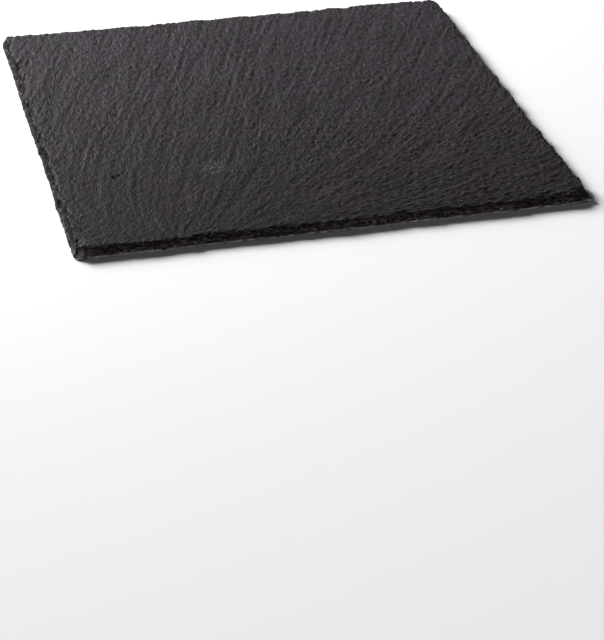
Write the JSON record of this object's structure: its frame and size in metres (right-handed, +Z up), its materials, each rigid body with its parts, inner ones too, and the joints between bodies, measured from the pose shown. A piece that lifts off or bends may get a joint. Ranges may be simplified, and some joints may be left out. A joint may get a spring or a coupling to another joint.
{
  "type": "slate slab",
  "caption": "Thin square slab of dark natural slate with a riven top face and hand-trimmed, flaked edges, to lie flat as a plate, mat or tile.",
  "frame": {"origin": "middle of the slab's outline, on the underside that it rests on", "axes": "+Z up out of the riven top face, -Y towards the front edge, where the split started, +X to the right"},
  "size_m": [0.2, 0.2, 0.0047],
  "materials": {
    "slate": "riven, unpolished, satin"
  },
  "bodies": {
    "root": {"slate_slab": "slate"}
  },
  "joints": []
}
